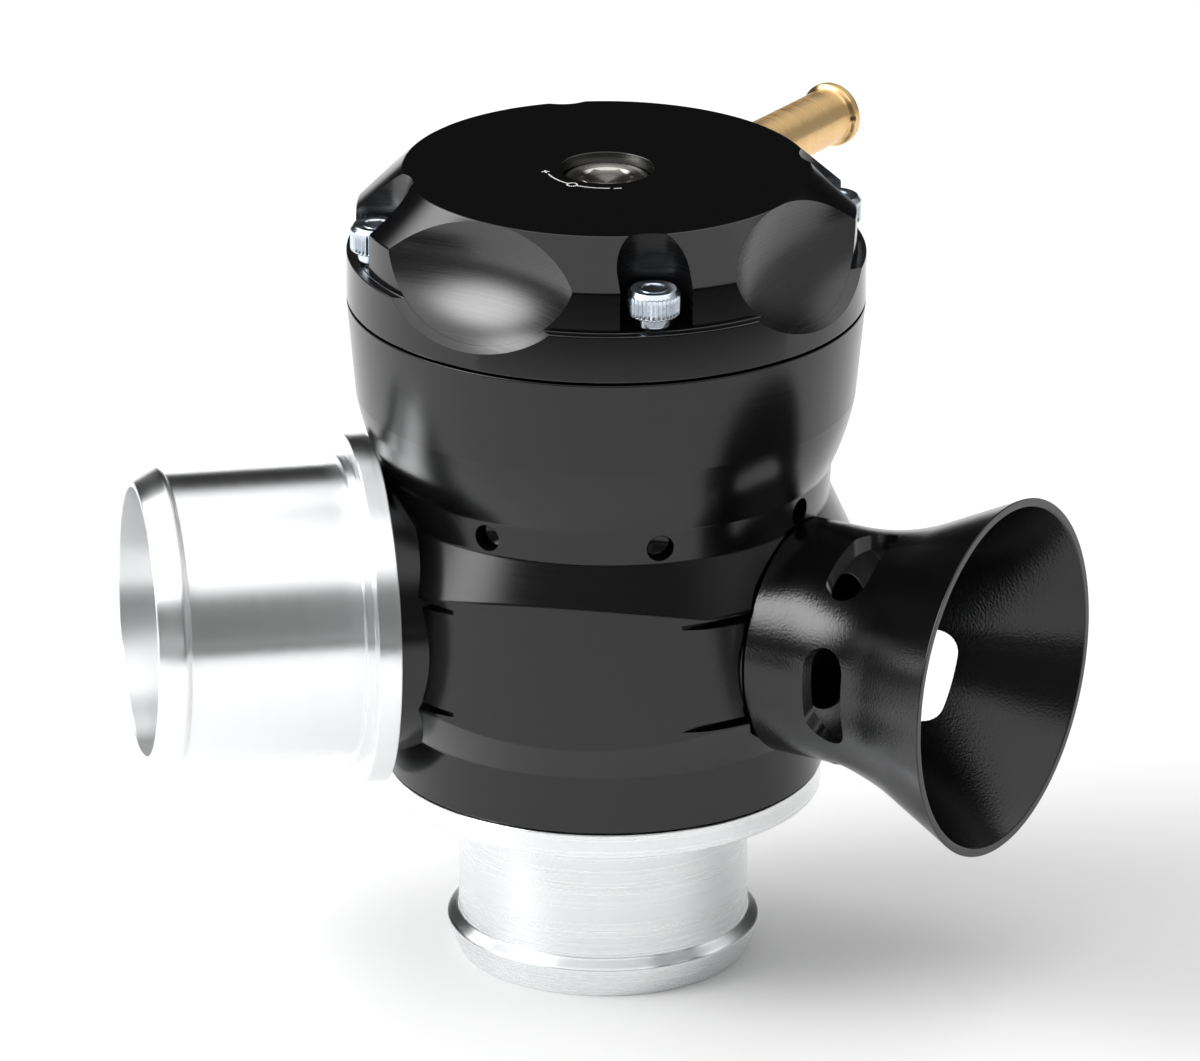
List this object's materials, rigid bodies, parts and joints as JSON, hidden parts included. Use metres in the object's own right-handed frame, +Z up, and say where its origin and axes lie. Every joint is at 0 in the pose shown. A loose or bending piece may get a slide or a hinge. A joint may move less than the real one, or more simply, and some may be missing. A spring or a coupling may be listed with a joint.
{
  "type": "blow off valve",
  "caption": "Sprung blow off valve with a flanged hose inlet below, a hose outlet at the side, a flared vent trumpet, a dished screwed cap and a vacuum nipple.",
  "frame": {"origin": "on the valve's axis at the open end of the inlet pipe, the lowest face", "axes": "+Z up along the valve's axis; -Y towards the side seen in the picture; the outlet points to -X and the trumpet to +X and -Y"},
  "size_m": [0.1094, 0.0847, 0.0932],
  "materials": {
    "valve_body": "satin black anodised",
    "head_cap": "satin black anodised",
    "cap_screw_1": "bright zinc plated",
    "cap_screw_2": "bright zinc plated",
    "cap_screw_3": "bright zinc plated",
    "cap_screw_4": "bright zinc plated",
    "cap_seal": "matt",
    "inlet_adaptor": "fine turned",
    "inlet_o_ring": "matt",
    "inlet_snap_ring": "oiled spring steel",
    "outlet_adaptor": "fine turned",
    "outlet_o_ring": "matt",
    "outlet_snap_ring": "oiled spring steel",
    "trumpet": "satin black anodised",
    "trumpet_o_ring": "matt",
    "vacuum_nipple": "fine turned",
    "main_spring": "oiled spring steel",
    "piston": "fine turned",
    "piston_o_ring": "matt",
    "piston_wear_ring": "matt filled plastic",
    "preload_screw": "stainless, fine turned",
    "preload_screw_o_ring": "matt",
    "preload_clip": "oiled spring steel",
    "spring_seat": "fine turned"
  },
  "bodies": {
    "valve": {"valve_body": "valve_body", "head_cap": "head_cap", "cap_screw_1": "cap_screw_1", "cap_screw_2": "cap_screw_2", "cap_screw_3": "cap_screw_3", "cap_screw_4": "cap_screw_4", "cap_seal": "cap_seal", "inlet_adaptor": "inlet_adaptor", "inlet_o_ring": "inlet_o_ring", "inlet_snap_ring": "inlet_snap_ring", "outlet_adaptor": "outlet_adaptor", "outlet_o_ring": "outlet_o_ring", "outlet_snap_ring": "outlet_snap_ring", "trumpet": "trumpet", "trumpet_o_ring": "trumpet_o_ring", "vacuum_nipple": "vacuum_nipple", "main_spring": "main_spring"},
    "piston": {"piston": "piston", "piston_o_ring": "piston_o_ring", "piston_wear_ring": "piston_wear_ring"},
    "adjuster": {"preload_screw": "preload_screw", "preload_screw_o_ring": "preload_screw_o_ring", "preload_clip": "preload_clip"},
    "spring_seat": {"spring_seat": "spring_seat"}
  },
  "joints": [
    {"name": "piston_slide", "type": "slide", "parent": "valve", "child": "piston", "axis": [0, 0, 1], "range_m": [0, 0.01], "stiffness_N_per_m": 1800, "springref_m": -0.012, "deforming": ["main_spring"]},
    {"name": "preload_turn", "type": "hinge", "parent": "valve", "child": "adjuster", "pos_m": [0, 0, 0.0902], "axis": [0, 0, 1], "range_deg": [0, 1440]},
    {"name": "seat_slide", "type": "slide", "parent": "valve", "child": "spring_seat", "axis": [0, 0, -1], "range_m": [0, 0.004]}
  ],
  "couplings": [
    {"joint": "preload_turn", "follows": "seat_slide", "rad_per_m": 6283.2}
  ]
}
